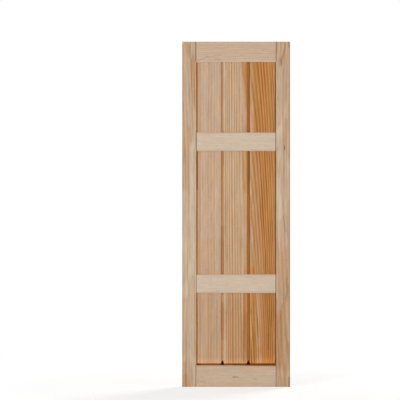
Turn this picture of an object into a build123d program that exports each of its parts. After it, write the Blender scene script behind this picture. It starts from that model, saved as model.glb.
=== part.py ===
from build123d import *

import os

# Whole shutter in millimetres. X runs across it, -Y is its front, and the wall plane is Y = 0.
shutter_width = 381.0
shutter_height = 1219.2
frame_thickness = 28.6

# Frame members. An end bay is the length of board that shows beyond each mid rail.
stile_width = 50.8
top_rail_height = 72.0
bottom_rail_height = 76.2
mid_rail_height = 66.0
end_bay_height = 248.6
eased_edge = 1.2

# Boards. The cover is the width from one joint to the next, and the last board takes the rest.
board_thickness = 15.9
front_recess = 6.35
board_cover = 91.7
v_groove_width = 11.0
v_groove_depth = 4.5
ripped_edge_chamfer = 1.8
drain_slit = 6.5
weep_notch_width = 12.0
weep_notch_height = 12.5

# Joinery. One tongue thickness serves the boards, the frame groove and the stub tenons.
tongue_thickness = 5.0
tongue_fit = 0.2
board_tongue_length = 6.0
panel_groove_depth = 9.5
tongue_end_gap = 0.8
rebate_lip_height = 25.4

# Room for the wood to move.
board_joint_gap = 0.5
board_side_gap = 1.2
mid_rail_end_gap = 0.5

# Heights, from an origin in the middle of the bottom rail's wall face.
bottom_z = -(bottom_rail_height + rebate_lip_height) / 2
top_z = bottom_z + shutter_height
bottom_rail_top_z = bottom_z + bottom_rail_height
lip_top_z = bottom_rail_top_z + rebate_lip_height
top_rail_bottom_z = top_z - top_rail_height
board_end_z = bottom_rail_top_z + drain_slit
lower_mid_rail_z = board_end_z + end_bay_height
upper_mid_rail_z = top_rail_bottom_z - end_bay_height - mid_rail_height

# Widths and depths.
opening_width = shutter_width - 2 * stile_width
opening_edge_x = opening_width / 2
joint_x = [board_cover - opening_edge_x, 2 * board_cover - opening_edge_x]
front_y = -frame_thickness
board_front_y = front_y + front_recess
board_back_y = board_front_y + board_thickness
tongue_y = (board_front_y + board_back_y) / 2
groove_width = tongue_thickness + 2 * tongue_fit
tenon_length = panel_groove_depth - tongue_end_gap
joint_chamfer = ((v_groove_width - board_joint_gap) / 2, v_groove_depth)
side_chamfer = (ripped_edge_chamfer, ripped_edge_chamfer)

os.makedirs("parts", exist_ok=True)


def save(piece, name):
    """Label a finished piece and write it as its own STEP file."""
    piece.part.label = name
    export_step(piece.part, f"parts/{name}.step")


def make_stub_tenons(low_z, high_z):
    """Make the pair of stub tenons that fill the stiles' grooves at the ends of a rail."""
    with BuildPart() as tenons:
        with BuildSketch(Plane.XY.offset(low_z)):
            for side in (-1, 1):
                with Locations((side * (opening_edge_x + tenon_length / 2), tongue_y)):
                    Rectangle(tenon_length, tongue_thickness)
        extrude(amount=high_z - low_z)
    return tenons.part


def make_board(name, left, right):
    """Make a V-jointed board. Each edge is its place, its chamfer as (width, depth), and its tongue's length
    or None for a groove."""
    left_x, right_x = left["x"], right["x"]
    middle_x = (left_x + right_x) / 2
    mate_depth = board_tongue_length - board_joint_gap + tongue_end_gap
    with BuildPart() as board:
        with BuildSketch(Plane.XY.offset(board_end_z)):
            with Locations((middle_x, tongue_y)):
                Rectangle(right_x - left_x, board_thickness)
            for edge, outward in ((left, -1), (right, 1)):
                if edge["tongue"] is None:
                    with Locations((edge["x"] - outward * mate_depth / 2, tongue_y)):
                        Rectangle(mate_depth, groove_width, mode=Mode.SUBTRACT)
                else:
                    with Locations((edge["x"] + outward * edge["tongue"] / 2, tongue_y)):
                        Rectangle(edge["tongue"], tongue_thickness)
                chamfer_width, chamfer_depth = edge["chamfer"]
                with BuildLine():
                    Polyline(
                        (edge["x"], board_front_y),
                        (edge["x"] - outward * chamfer_width, board_front_y),
                        (edge["x"], board_front_y + chamfer_depth),
                        close=True,
                    )
                make_face(mode=Mode.SUBTRACT)
        extrude(amount=top_rail_bottom_z - board_end_z)
        # The upper end is reduced to a tongue that stands in the top rail's groove.
        with BuildSketch(Plane.XY.offset(top_rail_bottom_z)):
            with Locations((middle_x, tongue_y)):
                Rectangle(right_x - left_x, tongue_thickness)
        extrude(amount=tenon_length)
        # The lower corners are nipped at each joint, so that the groove drains.
        with BuildSketch(Plane.XZ.offset(-board_back_y)):
            for x in joint_x:
                with BuildLine():
                    Polyline(
                        (x - weep_notch_width / 2, board_end_z),
                        (x, board_end_z + weep_notch_height),
                        (x + weep_notch_width / 2, board_end_z),
                        close=True,
                    )
                make_face()
        extrude(amount=board_thickness, mode=Mode.SUBTRACT)
    save(board, name)


# Stiles, grooved along the inner edge from end to end.
for side, name in ((-1, "left_stile"), (1, "right_stile")):
    with BuildPart() as stile:
        with BuildSketch(Plane.XY.offset(bottom_z)):
            with Locations((side * (opening_edge_x + stile_width / 2), front_y / 2)):
                section = Rectangle(stile_width, frame_thickness)
            fillet(section.vertices(), radius=eased_edge)
            with Locations((side * (opening_edge_x + panel_groove_depth / 2), tongue_y)):
                Rectangle(panel_groove_depth, groove_width, mode=Mode.SUBTRACT)
        extrude(amount=shutter_height)
    save(stile, name)

# Top rail, grooved below for the boards' upper ends.
top_tenons = make_stub_tenons(top_rail_bottom_z + panel_groove_depth, top_z)
with BuildPart() as top_rail:
    with BuildSketch(Plane.YZ.offset(-opening_edge_x)):
        with Locations((front_y / 2, top_z - top_rail_height / 2)):
            section = Rectangle(frame_thickness, top_rail_height)
        fillet(section.vertices(), radius=eased_edge)
        with Locations((tongue_y, top_rail_bottom_z + panel_groove_depth / 2)):
            Rectangle(groove_width, panel_groove_depth, mode=Mode.SUBTRACT)
    extrude(amount=opening_width)
    add(top_tenons)
save(top_rail, "top_rail")

# Bottom rail, rebated from the front so that its lip backs the boards' lower ends.
bottom_tenons = make_stub_tenons(bottom_z, bottom_rail_top_z)
with BuildPart() as bottom_rail:
    with BuildSketch(Plane.YZ.offset(-opening_edge_x)):
        with BuildLine():
            Polyline(
                (0, bottom_z),
                (0, lip_top_z),
                (board_back_y, lip_top_z),
                (board_back_y, bottom_rail_top_z),
                (front_y, bottom_rail_top_z),
                (front_y, bottom_z),
                close=True,
            )
        section = make_face()
        outer_corners = section.vertices().sort_by(Axis.Y)[:2] + section.vertices().sort_by(Axis.Y)[-2:]
        fillet(outer_corners, radius=eased_edge)
    extrude(amount=opening_width)
    add(bottom_tenons)
save(bottom_rail, "bottom_rail")

# Mid rails on the front and back, planted on the boards and flush with the frame.
for where, rail_z in (("upper", upper_mid_rail_z), ("lower", lower_mid_rail_z)):
    for face, outer_y, inner_y in (
        ("mid", front_y, board_front_y),
        ("back", 0, board_back_y),
    ):
        with BuildPart() as mid_rail:
            with BuildSketch(Plane.XZ.offset(-inner_y)):
                with Locations((0, rail_z + mid_rail_height / 2)):
                    Rectangle(opening_width - 2 * mid_rail_end_gap, mid_rail_height)
            extrude(amount=inner_y - outer_y)
            shown = mid_rail.faces().filter_by(Axis.Y).sort_by(lambda f: abs(f.center().Y - outer_y))[0]
            fillet(shown.edges(), radius=eased_edge)
        save(mid_rail, f"{where}_{face}_rail")

# Boards, from left to right, tongue into groove.
frame_tongue = board_side_gap + tenon_length
joint_shoulder = board_joint_gap / 2
make_board(
    "left_board",
    {"x": board_side_gap - opening_edge_x, "chamfer": joint_chamfer, "tongue": frame_tongue},
    {"x": joint_x[0] - joint_shoulder, "chamfer": joint_chamfer, "tongue": None},
)
make_board(
    "middle_board",
    {"x": joint_x[0] + joint_shoulder, "chamfer": joint_chamfer, "tongue": board_tongue_length},
    {"x": joint_x[1] - joint_shoulder, "chamfer": joint_chamfer, "tongue": None},
)
make_board(
    "right_board",
    {"x": joint_x[1] + joint_shoulder, "chamfer": joint_chamfer, "tongue": board_tongue_length},
    {"x": opening_edge_x - board_side_gap, "chamfer": side_chamfer, "tongue": frame_tongue},
)
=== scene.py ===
import math
from collections import namedtuple
from functools import partial

import bpy
from bpy.props import FloatProperty, FloatVectorProperty, PointerProperty
from bpy.types import Operator, Panel, PropertyGroup
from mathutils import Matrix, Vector


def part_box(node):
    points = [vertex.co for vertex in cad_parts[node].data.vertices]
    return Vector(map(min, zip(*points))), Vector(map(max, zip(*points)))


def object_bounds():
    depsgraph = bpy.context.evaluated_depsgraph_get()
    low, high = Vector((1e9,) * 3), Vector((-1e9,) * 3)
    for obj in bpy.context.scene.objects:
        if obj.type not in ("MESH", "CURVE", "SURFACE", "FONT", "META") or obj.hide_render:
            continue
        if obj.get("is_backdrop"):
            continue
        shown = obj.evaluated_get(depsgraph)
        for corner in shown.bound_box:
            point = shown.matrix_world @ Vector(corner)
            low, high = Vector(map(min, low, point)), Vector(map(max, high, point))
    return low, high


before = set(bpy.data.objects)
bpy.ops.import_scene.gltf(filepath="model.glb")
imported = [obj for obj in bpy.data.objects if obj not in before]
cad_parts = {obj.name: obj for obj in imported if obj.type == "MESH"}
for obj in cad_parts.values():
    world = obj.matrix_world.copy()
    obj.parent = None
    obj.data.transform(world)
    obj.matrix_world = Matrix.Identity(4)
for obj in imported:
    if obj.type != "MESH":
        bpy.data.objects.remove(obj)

bl_info = {
    "name": "V-groove shutter",
    "version": (1, 0, 0),
    "blender": (4, 5, 0),
    "location": "View3D > Sidebar > Shutter",
    "description": "Finishes the bare softwood of a V-groove window shutter and lights it in a plain studio",
    "category": "Object",
}

# Millimetres in a metre, the unit of the frame.
MM = 1000

# The shutter's box from the frame, in metres.
LOW, HIGH = (Vector(corner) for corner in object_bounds())
CENTRE = (LOW + HIGH) / 2
FRONT_Y = LOW.y

# Lines of the joinery that the finishes follow, in millimetres.
OPENING_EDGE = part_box("right_stile")[0].x * MM
BOARD_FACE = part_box("middle_board")[0].y * MM
BOARD_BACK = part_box("middle_board")[1].y * MM
BOARD_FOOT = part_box("middle_board")[0].z * MM
JOINTS = [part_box(name)[1].x * MM for name in ("left_board", "middle_board")]
# The V joints are 4.5 mm deep, and this reaches just past their bottom.
V_DEPTH = 4.6

# A mark fades out along the grain over four times its half width, or over this length if that is shorter.
LONGEST_FADE = 30


def linear(hex_colour):
    """Turn an sRGB hex colour into the linear RGBA that sockets and colour properties hold."""
    channels = [int(hex_colour[i:i + 2], 16) / 255 for i in (0, 2, 4)]
    return [c / 12.92 if c <= 0.04045 else ((c + 0.055) / 1.055) ** 2.4 for c in channels] + [1.0]


def colour(name, description, hex_colour):
    """A colour that a user can change."""
    return FloatVectorProperty(name=name, description=description, subtype="COLOR", size=4, min=0, max=1,
                               default=linear(hex_colour))


def size(name, description, millimetres):
    """A length that a user can change."""
    return FloatProperty(name=name, description=description, subtype="DISTANCE", unit="LENGTH", precision=4,
                         min=0, default=millimetres / MM)


def share(name, description, default):
    """A part of the whole, from 0 to 1, that a user can change."""
    return FloatProperty(name=name, description=description, subtype="FACTOR", min=0, max=1, default=default)


def power(name, description, watts):
    """A lamp's power that a user can change."""
    return FloatProperty(name=name, description=description, unit="POWER", min=0, default=watts)


# Settings to which several woods give their own value.
spring_wood = partial(colour, "Early wood", "Pale spring wood of the sapwood")
summer_wood = partial(colour, "Late wood", "Darker summer wood that ends each ring of the sapwood")
heart_spring_wood = partial(colour, "Heart early wood", "Spring wood of the heartwood")
heart_summer_wood = partial(colour, "Heart late wood", "Summer wood of the heartwood")
ring_spacing = partial(size, "Ring width", "Distance from one growth ring to the next")
ring_strength = partial(share, "Ring contrast", "How strongly the late wood shows")
streak_strength = partial(share, "Streaks", "How strongly coarse streaks of light and dark show")
fibre_strength = partial(share, "Fibres", "How strongly fine lines of light and dark show")
ring_wander = partial(size, "Wander", "How far the rings stray from straight")
# The chamfer colours are partly the fresh wood that the cutter bares and partly painted light and painted
# shade, with a tint of its own for each flank of a V joint.
left_chamfer = partial(colour, "Left chamfer", "Wood bared by the cutter at the board's left edge")
right_chamfer = partial(colour, "Right chamfer", "Wood bared by the cutter at the board's right edge")


class Softwood:
    """What every piece of bare softwood has in common."""

    early_wood: spring_wood("CFB69D")
    late_wood: summer_wood("AB845A")
    heart_early_and_painted_light: heart_spring_wood("C49260")
    heart_late_and_painted_shade: heart_summer_wood("966232")
    pale: colour("Pale streaks", "Bleached sapwood", "D2BDA3")
    pink: colour("Pink streaks", "Rosy sapwood", "CDA591")
    grey: colour("Grey streaks", "Sapwood greyed by the weather", "BEA684")
    brown: colour("Brown streaks", "Resin streaks", "966E48")
    orange: colour("Orange streaks", "Heartwood rich in resin", "A9682B")
    clear: colour("Clear wood", "Wood where the rings hardly show", "C5A381")
    stain: colour("Marks", "Knots and joint lines", "5E3B1E")
    sawn_end_and_painted_shade: colour("Sawn ends", "Tint of the end grain, which drinks in dirt", "D9BE9C")
    flush: colour("Warm mottling", "Orange tint of the mottling", "FFF3E4")
    cool: colour("Cool mottling", "Grey tint of the mottling", "F4F1F0")
    ring_width: ring_spacing(6.0)
    ring_contrast: ring_strength(0.5)
    heart: share("Heartwood", "How much of the piece is heartwood", 0.0)
    mottle: share("Mottling", "How strongly the mottling shows", 0.8)
    streak: streak_strength(0.35)
    fibre: fibre_strength(0.3)
    wander: ring_wander(6.0)


class StileFir(Softwood, PropertyGroup):
    """Flat-sawn fir, planed and sanded: pale and matt, with broad soft rings and greyed or brown streaks."""

    ring_contrast: ring_strength(0.6)
    streak: streak_strength(0.55)
    fibre: fibre_strength(0.4)


class EndRailFir(Softwood, PropertyGroup):
    """Flat-sawn fir, planed and sanded: smooth and even, with faint rings that run across the shutter."""

    early_wood: spring_wood("D3BCA6")
    late_wood: summer_wood("B4967C")
    ring_contrast: ring_strength(0.35)
    streak: streak_strength(0.15)


class MidRailPine(Softwood, PropertyGroup):
    """White pine, planed and sanded: the palest wood here, so even that it shows hardly any rings."""

    early_wood: spring_wood("DAC8B7")
    late_wood: summer_wood("C9B49F")
    ring_contrast: ring_strength(0.3)
    flush: colour("Warm mottling", "Straw tint of the mottling", "FFF6E8")
    cool: colour("Cool mottling", "Grey tint of the mottling", "F5F6F1")
    streak: streak_strength(0.12)


class JointedBoard(Softwood):
    """What every V-jointed board has in common. The cutter bares fresher wood along both edges, and the
    chamfer colours also hold painted light and painted shade for the flanks of the V joints.
    """

    left_cut_painted_light_and_shade: left_chamfer("FACC92")
    right_cut_painted_light_and_shade: right_chamfer("C8996A")


class PlainPineBoard(JointedBoard, PropertyGroup):
    """Sap pine, planed: one even tan, with few and soft rings."""

    early_wood: spring_wood("D1B8A0")
    late_wood: summer_wood("B5854F")
    ring_width: ring_spacing(9.0)
    ring_contrast: ring_strength(0.36)


class StraightPineBoard(JointedBoard, PropertyGroup):
    """Quarter-sawn pine, planed: its rings stand on edge, so the eye sees straight lines close together."""

    early_wood: spring_wood("DABEA1")
    late_wood: summer_wood("A7743A")
    heart_early_and_painted_light: heart_spring_wood("CE9A64")
    heart_late_and_painted_shade: heart_summer_wood("A26C36")
    ring_width: ring_spacing(5.6)
    ring_contrast: ring_strength(0.95)
    wander: ring_wander(3.0)
    left_cut_painted_light_and_shade: left_chamfer("C9A074")
    right_cut_painted_light_and_shade: right_chamfer("BC823E")


class OrangePineBoard(JointedBoard, PropertyGroup):
    """Heart pine, planed: orange with resin, and its hard summer wood draws strong dark lines."""

    heart_early_and_painted_light: heart_spring_wood("CE9458")
    heart_late_and_painted_shade: heart_summer_wood("84480E")
    clear: colour("Clear wood", "Wood where the rings hardly show", "BC8449")
    pale: colour("Pale streaks", "Bleached sapwood", "D4A676")
    orange: colour("Orange streaks", "Heartwood rich in resin", "AA722E")
    ring_width: ring_spacing(5.8)
    ring_contrast: ring_strength(1.0)
    streak: streak_strength(0.45)
    heart: share("Heartwood", "How much of the piece is heartwood", 1.0)
    wander: ring_wander(4.0)
    left_cut_painted_light_and_shade: left_chamfer("925C22")
    right_cut_painted_light_and_shade: right_chamfer("B4702E")


class PaintedShadeColours(PropertyGroup):
    """Painted shade in the narrow gaps beside the boards, on the lip behind the drain slit and behind the
    weep notches.
    """

    # Each colour here is painted shade: in the gaps, on the lip behind the drain slit, and deepest behind the
    # weep notches.
    gap: colour("Gaps", "Dust in the gaps between the stiles and the boards", "AE6A20")
    slit_left: colour("Slit, left", "Dirt at the left end of the drain slit", "B67A2C")
    slit_right: colour("Slit, right", "Dirt at the right end of the drain slit", "9E5E10")
    notch: colour("Weep notches", "Damp dirt behind the weep notches", "561A00")


class Studio(PropertyGroup):
    """The plain studio round the shutter."""

    floor: colour("Floor", "Matt paint of the studio floor", "E6E6E6")
    key_power: power("Key light", "Power of the large lamp to the left of the camera", 212)
    fill_power: power("Fill light", "Power of the lamp to the right, which lifts the shadows", 25)
    back_power: power("Back light", "Power of the lamp behind the shutter", 120)
    ambient: share("Ambient light", "Strength of the light from all round", 0.36)


class ShutterSettings(PropertyGroup):
    """Every finish of the shutter, and its studio."""

    stile_fir: PointerProperty(type=StileFir)
    end_rail_fir: PointerProperty(type=EndRailFir)
    mid_rail_pine: PointerProperty(type=MidRailPine)
    plain_pine_board: PointerProperty(type=PlainPineBoard)
    straight_pine_board: PointerProperty(type=StraightPineBoard)
    orange_pine_board: PointerProperty(type=OrangePineBoard)
    # Painted shade colours.
    painted_shade: PointerProperty(type=PaintedShadeColours)
    studio: PointerProperty(type=Studio)


# How a piece was cut from its log. The pith is where the rings centre, in millimetres as (across, depth,
# along the grain), and taper says how fast they close along the grain: 0 for straight rings, more for
# arches. A seed gives each piece a pattern of its own.
Cut = namedtuple("Cut", "seed pith taper marks")

# A soft streak or spot along the grain. Its ends are (across, along the grain, half width) in millimetres,
# and its tint is any colour of the wood, or heart for more heartwood and sap for less.
Mark = namedtuple("Mark", "tint strength start end")


def straight_marks(tint, across, half_width, *stretches):
    """Marks along one straight line, one for each stretch of (strength, start, end)."""
    return [Mark(tint, strength, (across, start, half_width), (across, end, half_width))
            for strength, start, end in stretches]


def add(tree, kind, inputs=None, stops=(), **settings):
    """Add a shader node with its settings, inputs and, for a colour ramp, stops as (place, grey level).

    An input is a value, an output, or a node whose first live output feeds it.
    """
    node = tree.nodes.new("ShaderNode" + kind)
    for name, value in settings.items():
        setattr(node, name, value)
    for key, value in (inputs or {}).items():
        socket = node.inputs[key] if isinstance(key, int) else next(
            s for s in node.inputs if s.enabled and s.name == key
        )
        if isinstance(value, bpy.types.Node):
            value = next(s for s in value.outputs if s.enabled)
        if isinstance(value, bpy.types.NodeSocket):
            tree.links.new(value, socket)
        else:
            socket.default_value = value
    if stops:
        # A new ramp has two stops already, which serve as the first and the last.
        elements = node.color_ramp.elements
        for place, _ in stops[1:-1]:
            elements.new(place)
        for element, (place, level) in zip(elements, stops):
            element.position = place
            element.color = (level, level, level, 1)
    return node


def new_group(name, inputs, outputs):
    """Start a node group with these sockets. Returns its tree, its inputs' node and its outputs' node."""
    tree = bpy.data.node_groups.new(name, "ShaderNodeTree")
    for socket_name, kind in inputs:
        tree.interface.new_socket(socket_name, in_out="INPUT", socket_type="NodeSocket" + kind)
    for socket_name, kind in outputs:
        tree.interface.new_socket(socket_name, in_out="OUTPUT", socket_type="NodeSocket" + kind)
    return tree, tree.nodes.new("NodeGroupInput").outputs, tree.nodes.new("NodeGroupOutput").inputs


def growth_rings_group():
    """Growth rings, fibres and mottling of a softwood, as a solid pattern at any place in millimetres."""
    tree, given, result = new_group(
        "growth_rings",
        [("Place", "Vector"), ("Seed", "Float"), ("Pith", "Vector"), ("Taper", "Float"),
         ("Ring Width", "Float"), ("Wander", "Float")],
        [("Late Wood", "Float"), ("Fibre", "Float"), ("Fine Fibre", "Float"), ("Streak", "Float"),
         ("Mottle", "Color"), ("Stray", "Vector"), ("Duct", "Float")],
    )
    # The seed moves a piece to a place of its own in the noise.
    shift = add(tree, "VectorMath", {0: (37.1, 91.7, 513.3), "Scale": given["Seed"]}, operation="SCALE")
    sample = add(tree, "VectorMath", {0: given["Place"], 1: shift}, operation="ADD")

    # The grain strays slowly over some 300 mm, and a little over some 70 mm.
    stray = add(tree, "CombineXYZ")
    for scale, weight in (((1 / 80, 1 / 80, 1 / 320), 1.0), ((1 / 22, 1 / 22, 1 / 75), 0.22)):
        at = add(tree, "VectorMath", {0: sample, 1: scale}, operation="MULTIPLY")
        noise = add(tree, "TexNoise", {"Vector": at, "Scale": 1, "Detail": 1})
        centred = add(tree, "VectorMath", {0: noise.outputs["Color"], 1: (0.5, 0.5, 0.5)},
                      operation="SUBTRACT")
        weighed = add(tree, "VectorMath", {0: centred, 1: (weight, weight, 0)}, operation="MULTIPLY")
        stray = add(tree, "VectorMath", {0: stray, 1: weighed}, operation="ADD")
    stray = add(tree, "VectorMath", {0: stray, "Scale": given["Wander"]}, operation="SCALE")
    strayed = add(tree, "VectorMath", {0: given["Place"], 1: stray}, operation="ADD")

    # Rings are shells round the pith, and their widths vary from year to year.
    squeeze = add(tree, "CombineXYZ", {"X": 1, "Y": 1, "Z": given["Taper"]})
    from_pith = add(tree, "VectorMath", {0: strayed, 1: given["Pith"]}, operation="SUBTRACT")
    squeezed = add(tree, "VectorMath", {0: from_pith, 1: squeeze}, operation="MULTIPLY")
    radius = add(tree, "VectorMath", {0: squeezed}, operation="LENGTH").outputs["Value"]
    years = add(tree, "Math", {0: radius, 1: given["Ring Width"]}, operation="DIVIDE")
    season_at = add(tree, "Math", {0: years, 1: 0.3, 2: given["Seed"]}, operation="MULTIPLY_ADD")
    season = add(tree, "TexNoise", {"W": season_at, "Scale": 1, "Detail": 0}, noise_dimensions="1D")
    uneven = add(tree, "Math", {0: season, 1: 0.7, 2: years}, operation="MULTIPLY_ADD")
    ring = add(tree, "Math", {0: uneven}, operation="FRACT")
    year = add(tree, "Math", {0: uneven}, operation="FLOOR")
    # Spring wood darkens into summer wood, which ends sharply. The summer wood of a real board is a line near
    # 0.5 mm wide, too fine to show from afar, so it is drawn as broad as two fifths of the ring.
    profile = add(tree, "ValToRGB", {"Fac": ring},
                  stops=((0, 0.75), (0.12, 0.1), (0.3, 0.0), (0.55, 0.3), (0.72, 0.95), (0.9, 1.0),
                         (1.0, 0.75)))
    # It is stronger in some years than in others, and in some patches of the piece.
    draw_at = add(tree, "Math", {0: year, 1: given["Seed"]}, operation="ADD")
    draw = add(tree, "TexWhiteNoise", {"W": draw_at}, noise_dimensions="1D")
    vigour = add(tree, "MapRange", {"Value": draw, "To Min": 0.5, "To Max": 1.0})
    patch_at = add(tree, "VectorMath", {0: sample, 1: (1 / 26, 1 / 26, 1 / 210)}, operation="MULTIPLY")
    patch = add(tree, "TexNoise", {"Vector": patch_at, "Scale": 1, "Detail": 1})
    patch = add(tree, "MapRange", {"Value": patch, "From Min": 0.3, "From Max": 0.7, "To Min": 0.55,
                                   "To Max": 1.1})
    late = add(tree, "Math", {0: profile, 1: vigour}, operation="MULTIPLY")
    late = add(tree, "Math", {0: late, 1: patch}, operation="MULTIPLY")
    tree.links.new(late.outputs[0], result["Late Wood"])

    # Fibre bundles are near 0.5 mm across. They are drawn near that size for a close view, and once more
    # 2.6 mm across and 60 mm long, because the real ones are too fine to show from afar. Among them run
    # coarse streaks 8 mm across, and a mottling of 20 mm by 70 mm.
    grained = add(tree, "VectorMath", {0: strayed, 1: shift}, operation="ADD")
    for name, kind, scale, detail in (
        ("Fibre", 0, (1 / 2.6, 1 / 2.6, 1 / 60), 3),
        ("Fine Fibre", 0, (1 / 0.7, 1 / 0.7, 1 / 22), 2),
        ("Streak", 0, (1 / 8, 1 / 8, 1 / 110), 3),
        ("Mottle", 1, (1 / 20, 1 / 20, 1 / 70), 2),
    ):
        at = add(tree, "VectorMath", {0: grained, 1: scale}, operation="MULTIPLY")
        noise = add(tree, "TexNoise", {"Vector": at, "Scale": 1, "Detail": detail})
        tree.links.new(noise.outputs[kind], result[name])
    # Resin ducts cut lengthwise show as dashes near 0.4 mm across and 5 mm long.
    duct_at = add(tree, "VectorMath", {0: grained, 1: (1 / 0.7, 1 / 0.7, 1 / 7)}, operation="MULTIPLY")
    duct = add(tree, "TexNoise", {"Vector": duct_at, "Scale": 1, "Detail": 0})
    duct = add(tree, "MapRange", {"Value": duct, "From Min": 0.68, "From Max": 0.78})
    tree.links.new(duct.outputs[0], result["Duct"])
    tree.links.new(stray.outputs[0], result["Stray"])
    return tree


def soft_mark_group():
    """A soft streak between two points along the grain, each with its own half width."""
    tree, given, result = new_group(
        "soft_mark",
        [("Place", "Vector"), ("Start", "Vector"), ("End", "Vector"), ("Fade", "Float")],
        [("Mask", "Float")],
    )
    place = add(tree, "SeparateXYZ", {0: given["Place"]})
    start = add(tree, "SeparateXYZ", {0: given["Start"]})
    end = add(tree, "SeparateXYZ", {0: given["End"]})
    part = add(tree, "MapRange", {"Value": place.outputs["Z"], "From Min": start.outputs["Y"],
                                  "From Max": end.outputs["Y"]})
    near = add(tree, "Mix", {"Factor": part, "A": given["Start"], "B": given["End"]}, data_type="VECTOR")
    near = add(tree, "SeparateXYZ", {0: near})
    beside = add(tree, "Math", {0: place.outputs["X"], 1: near.outputs["X"]}, operation="SUBTRACT")
    beside = add(tree, "Math", {0: beside, 1: near.outputs["Z"]}, operation="DIVIDE")
    beyond = add(tree, "Math", {0: place.outputs["Z"], 1: near.outputs["Y"]}, operation="SUBTRACT")
    beyond = add(tree, "Math", {0: beyond, 1: given["Fade"]}, operation="DIVIDE")
    away = add(tree, "CombineXYZ", {"X": beside, "Y": beyond})
    away = add(tree, "VectorMath", {0: away}, operation="LENGTH")
    # The mark is whole up to 0.3 times its half width, and gone at 1.2 times.
    mask = add(tree, "MapRange", {"Value": away.outputs["Value"], "From Min": 1.2, "From Max": 0.3},
               interpolation_type="SMOOTHSTEP")
    tree.links.new(mask.outputs[0], result["Mask"])
    return tree


def mark_masks(tree, marks, place, streak, depth):
    """Add up the marks of each tint. Their edges are ragged, because colour follows the streaks of the wood.

    Heartwood and sapwood run through the piece, and the other marks are on its front alone.
    """
    group = bpy.data.node_groups.get("soft_mark") or soft_mark_group()
    masks = {}
    for mark in marks:
        fade = min(4 * mark.start[2], 4 * mark.end[2], LONGEST_FADE)
        spot = add(tree, "Group", {0: place, 1: mark.start, 2: mark.end, 3: fade}, node_tree=group)
        masks[mark.tint] = add(tree, "Math", {0: spot, 1: mark.strength, 2: masks.get(mark.tint, 0.0)},
                               operation="MULTIPLY_ADD")
    # The streaks take a mark from 0.4 to 1.6 times its strength.
    ragged = add(tree, "Math", {0: streak, 1: 1.2, 2: 0.4}, operation="MULTIPLY_ADD")
    # From 14 to 8 mm in front of the wall, the marks on the front fade out.
    front = add(tree, "MapRange", {"Value": depth, "From Min": -8, "From Max": -14})
    on_front = add(tree, "Math", {0: ragged, 1: front}, operation="MULTIPLY")
    return {tint: add(tree, "Math", {0: mask, 1: ragged if tint in ("heart", "sap") else on_front},
                      operation="MULTIPLY", use_clamp=True)
            for tint, mask in masks.items()}


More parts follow.
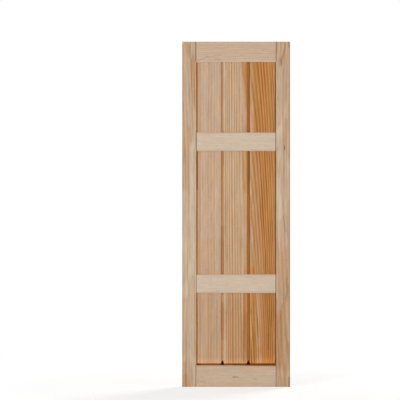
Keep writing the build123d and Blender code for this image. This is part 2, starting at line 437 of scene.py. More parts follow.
def planed_softwood(name, wood, cut, along="Z", extra_tints_and_painted_light=None):
    """Bare softwood, sawn, planed and lightly sanded, with no finish on it.

    Planing cuts through the growth rings, so the face shows them as lines, and the grain runs on round each
    edge. With no finish the surface is matt and a little furry, and only the dense late wood has some sheen.
    """
    material = bpy.data.materials.new(name)
    material.use_nodes = True
    tree = material.node_tree
    tree.nodes.clear()
    texture = add(tree, "TexCoord")
    normal = texture.outputs["Normal"]
    place = add(tree, "VectorMath", {0: texture.outputs["Object"], "Scale": MM}, operation="SCALE")
    true_place = add(tree, "SeparateXYZ", {0: place}).outputs
    if along == "X":
        # A rail's grain runs across the shutter, so its axes change places.
        turned = []
        for source in (place, normal):
            split = add(tree, "SeparateXYZ", {0: source}).outputs
            turned.append(add(tree, "CombineXYZ", {"X": split["Z"], "Y": split["Y"], "Z": split["X"]}))
        place, normal = turned
    rings = bpy.data.node_groups.get("growth_rings") or growth_rings_group()
    pattern = add(tree, "Group", {0: place, 1: cut.seed, 2: cut.pith, 3: cut.taper, 4: wood.ring_width * MM,
                                  5: wood.wander * MM}, node_tree=rings).outputs
    # The marks stray with the rings, but only three tenths as far.
    strayed = add(tree, "VectorMath", {0: pattern["Stray"], "Scale": 0.3}, operation="SCALE")
    strayed = add(tree, "VectorMath", {0: strayed, 1: place}, operation="ADD")
    masks = mark_masks(tree, cut.marks, strayed, pattern["Streak"], true_place["Y"])

    # Sapwood and heartwood, each of spring and summer wood.
    heart = add(tree, "Math", {0: masks.pop("heart", 0.0), 1: wood.heart}, operation="ADD", use_clamp=True)
    heart = add(tree, "Math", {0: heart, 1: masks.pop("sap", 0.0)}, operation="SUBTRACT", use_clamp=True)
    early = add(tree, "Mix", {"Factor": heart, "A": wood.early_wood, "B": wood.heart_early_and_painted_light}, data_type="RGBA")
    late = add(tree, "Mix", {"Factor": heart, "A": wood.late_wood, "B": wood.heart_late_and_painted_shade}, data_type="RGBA")
    lateness = add(tree, "Math", {0: pattern["Late Wood"], 1: wood.ring_contrast}, operation="MULTIPLY",
                   use_clamp=True)
    body = add(tree, "Mix", {"Factor": lateness, "A": early, "B": late}, data_type="RGBA")

    # Extra tints of some pieces, most of them painted light and painted shade: in the gaps, in the drain
    # slit, on the chamfers and at the boards' feet.
    if extra_tints_and_painted_light:
        body = extra_tints_and_painted_light(tree, body, true_place)

    # Mottling between a warm and a cool tint, and coarse and fine streaks of light and dark. The finest
    # fibres and the resin ducts are alike in every piece.
    fine_strength, duct_strength = 0.35, 0.3
    split = add(tree, "SeparateColor", {"Color": pattern["Mottle"]})
    blush = add(tree, "MapRange", {"Value": split.outputs[1], "From Min": 0.35, "From Max": 0.65})
    tint = add(tree, "Mix", {"Factor": blush, "A": wood.flush, "B": wood.cool}, data_type="RGBA")
    body = add(tree, "Mix", {"Factor": wood.mottle, "A": body, "B": tint}, data_type="RGBA",
               blend_type="MULTIPLY")
    level = add(tree, "Math", {0: pattern["Streak"], 1: wood.streak, 2: 1 - wood.streak / 2},
                operation="MULTIPLY_ADD")
    level = add(tree, "Math", {0: pattern["Fibre"], 1: wood.fibre, 2: level}, operation="MULTIPLY_ADD")
    level = add(tree, "Math", {0: level, 1: wood.fibre / 2}, operation="SUBTRACT")
    fine = add(tree, "Math", {0: pattern["Fine Fibre"], 1: 0.5}, operation="SUBTRACT")
    level = add(tree, "Math", {0: fine, 1: fine_strength, 2: level}, operation="MULTIPLY_ADD")
    specks = add(tree, "Math", {0: pattern["Duct"], 1: duct_strength}, operation="MULTIPLY")
    masks["stain"] = add(tree, "Math", {0: specks, 1: masks.get("stain", 0.0)}, operation="ADD",
                         use_clamp=True)
    for tint, mask in masks.items():
        body = add(tree, "Mix", {"Factor": mask, "A": body, "B": getattr(wood, tint)}, data_type="RGBA")
    body = add(tree, "VectorMath", {0: body, "Scale": level}, operation="SCALE")

    # Sawn ends drink in dirt and look darker than the planed faces. The tint sets in where the surface
    # turns across the grain.
    end_on = add(tree, "SeparateXYZ", {0: normal}).outputs["Z"]
    end_on = add(tree, "Math", {0: end_on}, operation="ABSOLUTE")
    end_on = add(tree, "MapRange", {"Value": end_on, "From Min": 0.6, "From Max": 0.95, "To Max": 0.85})
    body = add(tree, "Mix", {"Factor": end_on, "A": body, "B": wood.sawn_end_and_painted_shade}, data_type="RGBA",
               blend_type="MULTIPLY")

    # Late wood and fibres stand up by these heights, in millimetres.
    late_relief, fibre_relief, fine_relief = 0.05, 0.12, 0.04
    height = add(tree, "Math", {0: pattern["Late Wood"], 1: late_relief}, operation="MULTIPLY")
    height = add(tree, "Math", {0: pattern["Fibre"], 1: fibre_relief, 2: height}, operation="MULTIPLY_ADD")
    height = add(tree, "Math", {0: pattern["Fine Fibre"], 1: fine_relief, 2: height},
                 operation="MULTIPLY_ADD")
    bump = add(tree, "Bump", {"Height": height, "Distance": 1 / MM, "Strength": 0.8})
    # Spring wood is matt, and late wood is smoother by this much.
    spring_roughness, late_smoothing = 0.66, 0.14
    roughness = add(tree, "Math", {0: pattern["Late Wood"], 1: -late_smoothing, 2: spring_roughness},
                    operation="MULTIPLY_ADD")
    shader = add(tree, "BsdfPrincipled", {"Base Color": body, "Roughness": roughness, "Normal": bump,
                                          "IOR": 1.5, "Specular IOR Level": 0.1})
    add(tree, "OutputMaterial", {"Surface": shader})
    return material


def gap_painted_shade(tree, body, place, painted_shade):
    """Brown painted shade in the narrow gaps between the stiles and the boards."""
    # It lies this near to the opening's edge, and this far in front of the boards' faces at most.
    reach, proud = 1.4, 1
    beside = add(tree, "Math", {0: place["X"]}, operation="ABSOLUTE")
    beside = add(tree, "Math", {0: beside, 1: OPENING_EDGE, 2: reach}, operation="COMPARE")
    behind = add(tree, "Math", {0: place["Y"], 1: BOARD_FACE - proud}, operation="GREATER_THAN")
    # Painted shade: the gap colour darkens the gaps.
    in_gap_shade = add(tree, "Math", {0: beside, 1: behind}, operation="MULTIPLY")
    return add(tree, "Mix", {"Factor": in_gap_shade, "A": body, "B": painted_shade.gap}, data_type="RGBA")


def board_chamfers_and_painted_light(tree, body, place, painted_shade, wood, middle):
    """Chamfers as the moulding cutter left them, with painted light and painted shade in their colours,
    painted bounce light that lifts the lower end, and painted shade in the gaps.
    """
    # A chamfer takes on its colour between these depths, and this much of the wood's own is lost. The chamfer
    # colours are partly fresh wood and partly painted light and painted shade.
    colour_from, colour_to, cut_share = 0.05, 0.5, 0.85
    # Between these heights above the board's foot the wood grows lighter and warmer, up to this tint: painted
    # bounce light from the bottom rail.
    bounce_fade_height, bounce_full_height, bounce_light_tint = 26, 4, (1.28, 1.16, 1.02)
    below = add(tree, "Math", {0: place["Y"], 1: BOARD_FACE}, operation="SUBTRACT")
    chamfer = add(tree, "MapRange", {"Value": below, "From Min": colour_from, "From Max": colour_to})
    outside = add(tree, "Math", {0: below, 1: V_DEPTH}, operation="LESS_THAN")
    chamfer = add(tree, "Math", {0: chamfer, 1: outside}, operation="MULTIPLY")
    right = add(tree, "Math", {0: place["X"], 1: middle}, operation="GREATER_THAN")
    cut = add(tree, "Mix", {"Factor": right, "A": wood.left_cut_painted_light_and_shade, "B": wood.right_cut_painted_light_and_shade}, data_type="RGBA")
    chamfer = add(tree, "Math", {0: chamfer, 1: cut_share}, operation="MULTIPLY")
    body = add(tree, "Mix", {"Factor": chamfer, "A": body, "B": cut}, data_type="RGBA")
    # Painted bounce light: towards its foot the board is lifted and warmed as if lit by the bottom rail.
    end = add(tree, "MapRange", {"Value": place["Z"], "From Min": BOARD_FOOT + bounce_fade_height,
                                 "From Max": BOARD_FOOT + bounce_full_height}, interpolation_type="SMOOTHSTEP")
    painted_bounce_light = add(tree, "Mix", {"Factor": end, "A": (1, 1, 1), "B": bounce_light_tint}, data_type="VECTOR")
    body = add(tree, "VectorMath", {0: body, 1: painted_bounce_light}, operation="MULTIPLY")
    return gap_painted_shade(tree, body, place, painted_shade)


def slit_painted_shade(tree, body, place, painted_shade):
    """Brown painted shade on the lip behind the drain slit, darker to the right and darkest at the weep
    notches.
    """
    # The lip's front face stands at the boards' backs, give or take this much.
    tolerance = 0.5
    # Between these places across the shutter the painted shade turns from the left colour to the right one.
    left_until, right_from = -60, 80
    # The deepest painted shade, behind the weep notches, fades out between these heights above the boards'
    # feet, and these distances from a joint.
    notch_shade_full_height, notch_shade_gone_height, notch_shade_full_width, notch_shade_gone_width = 1, 9, 5, 9
    on_lip = add(tree, "Math", {0: place["Y"], 1: BOARD_BACK, 2: tolerance}, operation="COMPARE")
    along = add(tree, "MapRange", {"Value": place["X"], "From Min": left_until, "From Max": right_from})
    brown = add(tree, "Mix", {"Factor": along, "A": painted_shade.slit_left, "B": painted_shade.slit_right}, data_type="RGBA")
    # Painted shade on the lip behind the slit.
    body = add(tree, "Mix", {"Factor": on_lip, "A": body, "B": brown}, data_type="RGBA")
    notch_shade = add(tree, "MapRange", {"Value": place["Z"], "From Min": BOARD_FOOT + notch_shade_gone_height,
                                  "From Max": BOARD_FOOT + notch_shade_full_height})
    notch_shade = add(tree, "Math", {0: notch_shade, 1: on_lip}, operation="MULTIPLY")
    for joint in JOINTS:
        apart = add(tree, "Math", {0: place["X"], 1: joint}, operation="SUBTRACT")
        apart = add(tree, "Math", {0: apart}, operation="ABSOLUTE")
        near = add(tree, "MapRange", {"Value": apart, "From Min": notch_shade_gone_width, "From Max": notch_shade_full_width})
        near = add(tree, "Math", {0: near, 1: notch_shade}, operation="MULTIPLY")
        # Deepest painted shade behind each weep notch.
        body = add(tree, "Mix", {"Factor": near, "A": body, "B": painted_shade.notch}, data_type="RGBA")
    return body


def finish(node_name, material):
    """Give a piece of the frame its material."""
    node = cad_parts.get(node_name)
    if node is None:
        raise RuntimeError(f"the frame has no piece named {node_name}")
    if not node.data.materials:
        node.data.materials.append(material)
    for slot in node.material_slots:
        slot.material = material


class SHUTTER_OT_stage(Operator):
    """Set the plain studio: pale floor, soft light and the camera straight in front"""

    bl_idname = "shutter.stage"
    bl_label = "Studio"

    def execute(self, context):
        studio = context.scene.shutter.studio
        context.scene.view_settings.view_transform = "Standard"
        self.lay_floor(context.scene, studio)
        self.paint_world(context.scene, studio)
        for name, place, watts, width in (
            ("key", (-3.0, -5.6, 1.0), studio.key_power, 2.2),
            ("fill", (3.4, -4.6, 1.0), studio.fill_power, 2.4),
            ("back", (2.4, 4.2, 2.6), studio.back_power, 2.2),
        ):
            lamp = bpy.data.lights.new(name, "AREA")
            lamp.energy = watts
            lamp.size = width
            holder = bpy.data.objects.new(name, lamp)
            holder.location = place
            holder.rotation_euler = (CENTRE - Vector(place)).to_track_quat("-Z", "Y").to_euler()
            context.scene.collection.objects.link(holder)
        self.set_camera(context.scene)
        return {"FINISHED"}

    def lay_floor(self, scene, studio):
        """Pale matt floor paint. To the camera and in reflections it glows too, and is white far away."""
        # Metres from the middle to the floor's edge, and to where it begins to turn white and is white.
        half, pale_until, white_from = 30, 0.7, 1.8
        near_glow = 0.5
        mesh = bpy.data.meshes.new("floor")
        corners = [(x * half, y * half, LOW.z) for x, y in ((-1, -1), (1, -1), (1, 1), (-1, 1))]
        mesh.from_pydata(corners, [], [(0, 1, 2, 3)])
        floor = bpy.data.objects.new("floor", mesh)
        scene.collection.objects.link(floor)
        paint = bpy.data.materials.new("matt_floor_paint")
        paint.use_nodes = True
        tree = paint.node_tree
        tree.nodes.clear()
        texture = add(tree, "TexCoord")
        distance = add(tree, "VectorMath", {0: texture.outputs["Object"]}, operation="LENGTH")
        far = add(tree, "MapRange", {"Value": distance.outputs["Value"], "From Min": pale_until,
                                     "From Max": white_from}, interpolation_type="SMOOTHSTEP")
        seen = seen_by_camera(tree)
        strength = add(tree, "MapRange", {"Value": far, "To Min": near_glow, "To Max": 1.0})
        strength = add(tree, "Math", {0: strength, 1: seen}, operation="MULTIPLY")
        glow = add(tree, "Emission", {"Strength": strength})
        matt = add(tree, "BsdfDiffuse", {"Color": studio.floor})
        both = add(tree, "AddShader", {0: matt, 1: glow})
        white = add(tree, "Emission", {"Strength": seen})
        cover = add(tree, "Math", {0: far, 1: seen}, operation="MULTIPLY")
        shader = add(tree, "MixShader", {0: cover, 1: both, 2: white})
        add(tree, "OutputMaterial", {"Surface": shader})
        mesh.materials.append(paint)
        floor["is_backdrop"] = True

    def paint_world(self, scene, studio):
        """White to the camera and in reflections, and a dimmer white as a light."""
        world = bpy.data.worlds.new("studio")
        world.use_nodes = True
        tree = world.node_tree
        tree.nodes.clear()
        strength = add(tree, "MapRange", {"Value": seen_by_camera(tree), "To Min": studio.ambient,
                                          "To Max": 1.0})
        sky = add(tree, "Background", {"Color": (1, 1, 1, 1), "Strength": strength})
        add(tree, "OutputWorld", {"Surface": sky})
        scene.world = world

    def set_camera(self, scene):
        """A long lens straight in front, a little left of the shutter, as the photograph frames it."""
        # The photographed shutter is 0.4 percent lower for its width than the stock size, so the scale is
        # set between the one that fits its width, 108.1 pixels, and the one that fits its height.
        photo_side, shutter_width_px = 400, 107.9
        centre_px = (236.1, 214.3)
        lens, sensor = 200, 36
        scale = (HIGH.x - LOW.x) / shutter_width_px
        camera = bpy.data.cameras.new("camera")
        camera.lens = lens
        camera.sensor_width = sensor
        holder = bpy.data.objects.new("camera", camera)
        holder.location = (
            CENTRE.x - (centre_px[0] - photo_side / 2) * scale,
            FRONT_Y - photo_side * scale * lens / sensor,
            CENTRE.z + (centre_px[1] - photo_side / 2) * scale,
        )
        holder.rotation_euler = (math.radians(90), 0, 0)
        scene.collection.objects.link(holder)
        scene.camera = holder


def seen_by_camera(tree):
    """1 for rays from the camera, and for those that mirror or pass on what it sees."""
    path = add(tree, "LightPath").outputs
    either = add(tree, "Math", {0: path["Is Camera Ray"], 1: path["Is Glossy Ray"]}, operation="MAXIMUM")
    return add(tree, "Math", {0: either, 1: path["Is Transmission Ray"]}, operation="MAXIMUM")


def joint_lines(side):
    """The dark line on a stile where each rail meets it, at the left (-1) or at the right (1)."""
    # On the left stile, the end rails' lines lie a little further out than the mid rails'.
    end_across, mid_across = (-143.2, -140.8) if side < 0 else (141.3, 141.3)
    half_width, inset = 1.7, 5
    marks = []
    for rail, strength, across in (
        ("top_rail", 0.6, end_across),
        ("upper_mid_rail", 0.15, mid_across),
        ("lower_mid_rail", 0.06, mid_across),
        ("bottom_rail", 0.75 if side < 0 else 0.6, end_across),
    ):
        low, high = (corner.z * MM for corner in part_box(rail))
        if rail == "bottom_rail":
            # This rail's box takes in the lip behind the boards.
            high = BOARD_FOOT
        marks += straight_marks("stain", across, half_width, (strength, high - inset, low + inset))
    return marks


class SHUTTER_OT_stiles(Operator):
    """Finish the two stiles"""

    bl_idname = "shutter.stiles"
    bl_label = "Stiles"

    def execute(self, context):
        shutter = context.scene.shutter
        # The stiles take painted shade in the gaps beside the boards.
        extra_tints_and_painted_light = partial(gap_painted_shade, painted_shade=shutter.painted_shade)
        left = Cut(seed=3.1, pith=(-230, 60, 300), taper=0.06, marks=(
            *joint_lines(-1),
            # Painted shade along the outer left edge.
            Mark("brown", 0.25, (-187, 1150, 4), (-187, -40, 4)),
            Mark("brown", 0.35, (-166, 1150, 6), (-166, 1122, 4)),
            Mark("brown", 0.45, (-157, 1100, 3), (-157, 1015, 3)),
            Mark("heart", 0.36, (-150, 1105, 13), (-147, 960, 11)),
            Mark("heart", 0.45, (-146, 1095, 4), (-144, 930, 4)),
            Mark("heart", 0.40, (-168, 850, 8), (-168, 700, 7)),
            Mark("pale", 0.40, (-147, 850, 5), (-152, 800, 9)),
            Mark("pale", 0.75, (-154, 790, 14), (-154, 370, 15)),
            Mark("pale", 0.65, (-180, 620, 14), (-178, 290, 14)),
            *straight_marks("heart", -141, 2, (0.30, 1090, 360), (0.30, 272, 40)),
            Mark("heart", 0.12, (-142, 270, 4), (-142, 40, 4)),
            # Painted highlight on the inner arris.
            Mark("pale", 0.55, (-143.4, 1094, 1.8), (-143.4, 860, 1.8)),
            # Painted shade in the gap beside the left stile, below the upper mid rail.
            Mark("sawn_end_and_painted_shade", 0.65, (-143.2, 776, 1.9), (-143.2, 640, 1.9)),
            Mark("orange", 0.45, (-140.4, 785, 1.2), (-140.4, 630, 1.2)),
            Mark("orange", 0.10, (-175, 602, 8), (-175, 575, 8)),
            Mark("pale", 0.40, (-158, 360, 14), (-158, 60, 13)),
            Mark("pale", 0.25, (-180, 290, 12), (-178, 60, 12)),
            Mark("pink", 0.50, (-171, 520, 14), (-171, 485, 12)),
            Mark("heart", 0.18, (-172, 460, 8), (-168, 412, 8)),
            Mark("brown", 0.30, (-168, 320, 3), (-163, 288, 3)),
            Mark("heart", 0.50, (-181, 30, 5), (-180, -6, 4)),
            Mark("heart", 0.60, (-158, 8, 4), (-157, -10, 4)),
            Mark("heart", 0.55, (-176, -26, 8), (-174, -46, 10)),
            Mark("brown", 0.20, (-178, -30, 6), (-178, -46, 6)),
            Mark("heart", 0.50, (-159, -30, 7), (-159, -46, 7)),
            Mark("pale", 0.60, (-144, 340, 4), (-144, 292, 4)),
            Mark("heart", 0.35, (-176, 1166, 12), (-170, 1144, 10)),
            Mark("pale", 0.50, (-151, 32, 11), (-151, -44, 11)),
        ))
        right = Cut(seed=7.7, pith=(225, 70, 900), taper=0.07, marks=(
            *joint_lines(1),
            Mark("brown", 0.42, (173, 1150, 5), (160, 1098, 6)),
            Mark("brown", 0.35, (156, 1094, 8), (150, 1050, 7)),
            Mark("stain", 0.40, (187, 1164, 4), (187, 1158, 4)),
            Mark("pale", 0.50, (154, 1066, 8), (156, 866, 8)),
            Mark("pale", 0.55, (152, 760, 12), (154, 490, 14)),
            Mark("pale", 0.85, (153, 846, 11), (152, 775, 11)),
            Mark("pale", 0.30, (149, 690, 9), (149, 640, 9)),
            Mark("heart", 0.30, (144, 1166, 7), (144, 1144, 7)),
            Mark("heart", 0.25, (177, 1112, 9), (177, 1030, 9)),
            # Painted shade along the outer right edge, the side turned away from the key light.
            Mark("brown", 0.55, (189, 1150, 2.6), (189, -40, 2.6)),
            Mark("heart", 0.35, (176, 1000, 8), (176, 978, 8)),
            Mark("heart", 0.40, (176, 882, 8), (172, 800, 7)),
            Mark("stain", 0.90, (170.6, 794, 2), (170.6, 792, 2)),
            Mark("brown", 0.40, (147.7, 970, 2.5), (147.7, 966, 2.5)),
            Mark("brown", 0.40, (168, 547, 3), (173, 502, 3)),
            Mark("pink", 0.50, (160, 474, 16), (160, 445, 16)),
            Mark("pale", 0.65, (152, 610, 12), (152, 560, 12)),
            Mark("pale", 0.30, (182, 730, 10), (182, 580, 10)),
            Mark("heart", 0.12, (150, 440, 16), (150, 240, 14)),
            Mark("heart", 0.50, (152, 195, 16), (152, 40, 14)),
            Mark("brown", 0.10, (154, 170, 16), (154, 36, 16)),
            Mark("brown", 0.15, (180, 80, 10), (180, 20, 10)),
            Mark("heart", 0.35, (172, 420, 18), (170, 30, 20)),
            Mark("heart", 0.22, (168, 0, 18), (168, -40, 16)),
            Mark("heart", 0.20, (142, 1090, 2), (142, 860, 2)),
            # Painted highlight on the inner arris.
            Mark("pale", 0.60, (142.4, 1094, 1.8), (142.4, 800, 1.8)),
            Mark("heart", 0.48, (142, 781, 2.5), (142, 350, 2.5)),
            # Painted shade along the gap beside the right stile, darkest at the drain slit.
            *straight_marks("orange", 140.4, 1.2, (0.70, 1096, 350), (0.35, 282, 40)),
            Mark("orange", 0.85, (140.8, 38, 2.4), (140.8, 24, 2.4)),
            Mark("brown", 0.45, (183, 298, 4), (176, 264, 4)),
            Mark("brown", 0.35, (163, 232, 5), (158, 198, 4)),
            Mark("brown", 0.50, (178, 330, 2.4), (178, 304, 2.4)),
            Mark("heart", 0.55, (142, 254, 3), (142, 50, 3)),
            Mark("stain", 0.60, (187, -24, 4), (187, -48, 4)),
        ))
        for name, cut in (("left_stile", left), ("right_stile", right)):
            finish(name, planed_softwood("planed_fir_" + name, shutter.stile_fir, cut, extra_tints_and_painted_light=extra_tints_and_painted_light))
        return {"FINISHED"}


class SHUTTER_OT_end_rails(Operator):
    """Finish the top and bottom rails"""

    bl_idname = "shutter.end_rails"
    bl_label = "End rails"

    def execute(self, context):
        shutter = context.scene.shutter
        wood = shutter.end_rail_fir
        # The bottom rail takes painted shade on the lip behind the drain slit.
        extra_tints_and_painted_light = partial(slit_painted_shade, painted_shade=shutter.painted_shade)
        top = Cut(seed=11.3, pith=(1060, 20, -65), taper=0.14, marks=(
            # Painted highlight along the lower arris of the top rail.
            Mark("pale", 0.5, (1099, -130, 4), (1099, 130, 4)),
            Mark("brown", 0.30, (1103, -134, 2.2), (1114, -104, 2.2)),
            Mark("brown", 0.20, (1115, -100, 2.2), (1121, -60, 2.6)),
            Mark("brown", 0.30, (1106, -70, 3), (1105, -60, 3)),
        ))
        bottom = Cut(seed=5.9, pith=(-160, 60, 40), taper=0.05, marks=(
            Mark("pale", 0.50, (-16, -150, 33), (-16, 150, 33)),
            Mark("stain", 0.7, (-16, -8, 2), (-16, 6, 1.6)),
            # Painted shade along the rail's top edge, which widens the dark of the drain slit.
            Mark("brown", 0.95, (25.4, -10, 0.8), (24.8, 138, 3.8)),
            Mark("orange", 0.50, (25.2, -138, 1.6), (25.2, -4, 1.6)),
            Mark("brown", 0.4, (-22, 66, 2), (-23, 70, 2)),
            Mark("brown", 0.3, (-16, -124, 2), (-16, -118, 2)),
            Mark("brown", 0.3, (-32, -124, 2), (-32, -112, 2)),
        ))
        finish("top_rail", planed_softwood("planed_fir_top_rail", wood, top, along="X"))
        finish("bottom_rail", planed_softwood("planed_fir_bottom_rail", wood, bottom, along="X", extra_tints_and_painted_light=extra_tints_and_painted_light))
        return {"FINISHED"}


class SHUTTER_OT_mid_rails(Operator):
    """Finish the mid rails and the back rails behind them"""

    bl_idname = "shutter.mid_rails"
    bl_label = "Mid rails"

    def execute(self, context):
        wood = context.scene.shutter.mid_rail_pine
        for height, seed in (("upper", 2.3), ("lower", 9.1)):
            for face, depth in (("mid", 90), ("back", -120)):
                name = f"{height}_{face}_rail"
                low, high = (corner.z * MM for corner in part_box(name))
                cut = Cut(seed=seed + depth / 100, pith=(low - 130, depth, 0), taper=0.03, marks=(
                    Mark("heart", 0.18, (low + 1, -130, 6), (low + 1, 130, 6)),
                    Mark("heart", 0.18, (high - 1, -130, 6), (high - 1, 130, 6)),
                ))
                finish(name, planed_softwood("planed_pine_" + name, wood, cut, along="X"))
        return {"FINISHED"}


class SHUTTER_OT_boards(Operator):
    """Finish the three V-jointed boards"""

    bl_idname = "shutter.boards"
    bl_label = "Boards"

    def execute(self, context):
        shutter = context.scene.shutter
        plain = Cut(seed=1.7, pith=(-260, 40, 500), taper=0.02, marks=(
            Mark("heart", 0.40, (-133, 1090, 9), (-133, 30, 9)),
            # Painted shade along the left edge of the first V joint.
            Mark("brown", 0.25, (-53.6, 1090, 1.8), (-53.6, 36, 1.8)),
            Mark("heart", 0.15, (-92, 1090, 12), (-92, 40, 12)),
            Mark("heart", 0.12, (-90, 450, 55), (-90, 350, 55)),
            Mark("heart", 0.28, (-86, 260, 44), (-86, 36, 44)),
            Mark("brown", 0.25, (-67, 250, 2.5), (-67, 50, 2.5)),
            # Painted shade in the gap beside the left stile, below the upper mid rail.
            Mark("brown", 0.85, (-136.2, 785, 2), (-136.2, 650, 2)),
            # Painted light at the root of the first V joint.
            *straight_marks("left_cut_painted_light_and_shade", -48.9, 1.3, (0.50, 560, 350), (0.45, 282, 40)),
            # Painted shade in the first V joint, below the upper mid rail.
            Mark("orange", 0.30, (-50.6, 781, 2.4), (-50.6, 690, 2.4)),
            *straight_marks("orange", -50.6, 2.6, (0.50, 510, 350), (0.50, 240, 120)),
            *straight_marks("orange", -55, 2.4, (0.22, 470, 350), (0.22, 230, 150)),
            Mark("orange", 0.13, (-125, 260, 9), (-125, 150, 9)),
        ))
        straight = Cut(seed=6.5, pith=(58, 50, 1500), taper=0.02, marks=(
            # Painted highlight on the arris beside the first V joint.
            *straight_marks("pale", -41, 3, (0.90, 1090, 860), (0.55, 780, 40)),
            # Painted light on the lit flank of the first V joint.
            Mark("pale", 0.40, (-46, 1090, 2.5), (-46, 860, 2.5)),
            Mark("heart", 0.95, (31, 1096, 12), (32, 1050, 9)),
            Mark("heart", 0.85, (34, 1050, 10), (35, 935, 8)),
            Mark("orange", 0.25, (33, 1096, 8), (35, 1000, 6)),
            Mark("pale", 0.30, (17, 1060, 5), (22, 930, 5)),
            Mark("clear", 0.45, (8, 1090, 15), (8, 350, 15)),
            Mark("heart", 0.18, (0, 450, 40), (0, 350, 40)),
            Mark("heart", 0.45, (37, 781, 3.5), (37, 350, 3.5)),
            Mark("brown", 0.22, (-45.5, 520, 3), (-45.5, 36, 3)),
            *straight_marks("orange", -44.6, 2, (0.70, 778, 738), (0.45, 460, 350), (0.35, 225, 150)),
            *straight_marks("orange", -45.4, 2.6, (0.30, 510, 350), (0.35, 240, 120)),
            *straight_marks("heart", -36, 6, (0.30, 500, 400), (0.35, 210, 130)),
            Mark("heart", 0.45, (19, 1096, 6), (22, 1062, 5)),
            Mark("heart", 0.75, (36, 890, 6), (36, 855, 6)),
            Mark("pink", 0.60, (30, 920, 9), (30, 888, 9)),
            Mark("orange", 0.30, (29, 880, 5), (29, 854, 5)),
            Mark("heart", 0.65, (31, 781, 11), (31, 660, 10)),
            Mark("heart", 0.35, (31, 640, 10), (31, 535, 10)),
            Mark("pink", 0.70, (32, 520, 9), (32, 472, 9)),
            Mark("grey", 0.55, (30, 465, 9), (30, 396, 9)),
            Mark("heart", 0.90, (34, 282, 8), (34, 33, 9)),
            Mark("orange", 0.70, (26.8, 281, 4), (26.8, 46, 4.5)),
            Mark("heart", 0.50, (-8, 275, 28), (-8, 36, 30)),
            Mark("heart", 0.45, (33, 460, 9), (33, 350, 9)),
            Mark("orange", 0.35, (34, 190, 8), (34, 95, 8)),
            Mark("brown", 0.12, (-8, 240, 28), (-8, 60, 28)),
            Mark("orange", 0.40, (-26.8, 280, 2.4), (-26.3, 40, 2.4)),
            Mark("orange", 0.50, (-12.7, 280, 2.4), (-12.2, 40, 2.4)),
            Mark("orange", 0.40, (14.6, 280, 2.4), (15.2, 40, 2.4)),
            Mark("brown", 0.20, (20.6, 580, 4), (20.6, 450, 4)),
            Mark("right_cut_painted_light_and_shade", 0.50, (38.6, 545, 3.2), (38.6, 425, 3.2)),
            # Painted shade in the second V joint, below the upper mid rail.
            Mark("right_cut_painted_light_and_shade", 0.35, (40.2, 781, 2), (40.2, 650, 2)),
            # Painted light at the root of the second V joint.
            *straight_marks("heart_early_and_painted_light", 43.2, 1.5, (0.30, 1090, 860), (0.55, 630, 350), (0.40, 282, 40)),
        ))
        orange = Cut(seed=4.4, pith=(15, 20, -700), taper=0.06, marks=(
            # Painted highlight on the arris beside the second V joint.
            Mark("pale", 0.50, (51.2, 1090, 2), (51.2, 40, 2)),
            Mark("clear", 0.45, (66, 1096, 18), (76, 850, 20)),
            Mark("heart_early_and_painted_light", 0.32, (122, 1090, 16), (122, 560, 16)),
            Mark("sap", 0.50, (53, 1096, 7), (57, 940, 9)),
            Mark("pink", 0.50, (56, 925, 7), (58, 850, 8)),
            Mark("sap", 0.80, (52, 781, 6), (53, 640, 6)),
            Mark("sap", 0.30, (54, 620, 8), (58, 540, 9)),
            Mark("pink", 0.70, (54, 506, 4.4), (56, 474, 5.5)),
            # Painted light at the root of the second V joint.
            *straight_marks("heart_early_and_painted_light", 44.3, 1.3, (0.30, 1090, 860), (0.45, 620, 350), (0.40, 282, 40)),
            # Painted shade in the second V joint, below the upper mid rail.
            Mark("heart_late_and_painted_shade", 0.75, (46.8, 785, 2), (46.8, 672, 2)),
            Mark("pale", 0.40, (54.5, 195, 4), (54.5, 135, 4)),
            Mark("grey", 0.60, (55, 465, 7), (58, 392, 8)),
            Mark("clear", 0.35, (86, 385, 9), (88, 350, 9)),
            Mark("clear", 0.35, (88, 150, 10), (88, 88, 10)),
            Mark("sap", 0.42, (79, 282, 16), (82, 110, 17)),
            Mark("sap", 0.36, (81, 110, 12), (84, 36, 14)),
            Mark("sap", 0.12, (132, 1090, 4), (132, 40, 4)),
            Mark("heart_early_and_painted_light", 0.35, (135.4, 1090, 1.6), (135.4, 62, 1.6)),
            Mark("pale", 0.50, (135.4, 58, 2), (135.4, 33, 2)),
            Mark("pale", 0.45, (135.4, 1090, 1.6), (135.4, 40, 1.6)),
            Mark("sap", 0.22, (67, 781, 18), (70, 590, 16)),
            Mark("sap", 0.16, (66, 600, 12), (82, 350, 20)),
            Mark("sap", 0.12, (76, 545, 14), (84, 350, 20)),
            Mark("sap", 0.10, (80, 480, 16), (86, 350, 20)),
            Mark("orange", 0.30, (61, 282, 4), (64, 120, 4)),
            Mark("orange", 0.38, (65, 130, 5), (65, 60, 5)),
            Mark("heart_early_and_painted_light", 0.25, (66, 180, 9), (66, 40, 12)),
            Mark("orange", 0.12, (112, 280, 26), (112, 80, 26)),
            Mark("heart_late_and_painted_shade", 0.52, (117, 276, 2), (121, 165, 2)),
            Mark("heart_late_and_painted_shade", 0.65, (113.5, 132, 2), (115.5, 84, 2)),
            Mark("heart_late_and_painted_shade", 0.30, (63, 150, 2.6), (64, 50, 2.6)),
            Mark("heart_late_and_painted_shade", 0.10, (108, 280, 24), (108, 80, 24)),
        ))
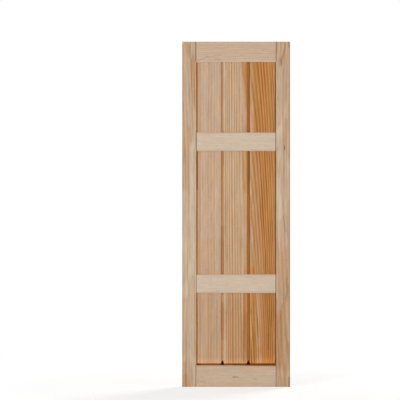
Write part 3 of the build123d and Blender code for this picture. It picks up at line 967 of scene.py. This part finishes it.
        for name, wood, cut in (
            ("left_board", shutter.plain_pine_board, plain),
            ("middle_board", shutter.straight_pine_board, straight),
            ("right_board", shutter.orange_pine_board, orange),
        ):
            low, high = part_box(name)
            middle = (low.x + high.x) / 2 * MM
            # Each board takes chamfer colours with painted light and painted shade, painted bounce light at
            # its foot and painted shade in the gaps.
            extra_tints_and_painted_light = partial(board_chamfers_and_painted_light, painted_shade=shutter.painted_shade, wood=wood, middle=middle)
            finish(name, planed_softwood("planed_pine_" + name, wood, cut, extra_tints_and_painted_light=extra_tints_and_painted_light))
        return {"FINISHED"}


STEPS = (SHUTTER_OT_stiles, SHUTTER_OT_end_rails, SHUTTER_OT_mid_rails, SHUTTER_OT_boards, SHUTTER_OT_stage)


class SHUTTER_PT_panel(Panel):
    """The shutter's finishes and its studio"""

    bl_idname = "SHUTTER_PT_panel"
    bl_label = "Shutter"
    bl_space_type = "VIEW_3D"
    bl_region_type = "UI"
    bl_category = "Shutter"

    def draw(self, context):
        for step in STEPS:
            self.layout.operator(step.bl_idname)
        shutter = context.scene.shutter
        for finish_name in shutter.bl_rna.properties.keys():
            group = getattr(shutter, finish_name)
            if not isinstance(group, PropertyGroup):
                continue
            box = self.layout.box()
            box.label(text=finish_name.replace("_", " ").capitalize())
            for setting in group.bl_rna.properties.keys():
                if setting not in ("rna_type", "name"):
                    box.prop(group, setting)


CLASSES = (StileFir, EndRailFir, MidRailPine, PlainPineBoard, StraightPineBoard, OrangePineBoard, PaintedShadeColours,
           Studio, ShutterSettings, *STEPS, SHUTTER_PT_panel)


def register():
    for cls in CLASSES:
        bpy.utils.register_class(cls)
    bpy.types.Scene.shutter = PointerProperty(type=ShutterSettings)


def unregister():
    del bpy.types.Scene.shutter
    for cls in reversed(CLASSES):
        bpy.utils.unregister_class(cls)


def main():
    register()
    bpy.ops.shutter.stiles()
    bpy.ops.shutter.end_rails()
    bpy.ops.shutter.mid_rails()
    bpy.ops.shutter.boards()
    bpy.ops.shutter.stage()


if __name__ == "__main__":
    main()
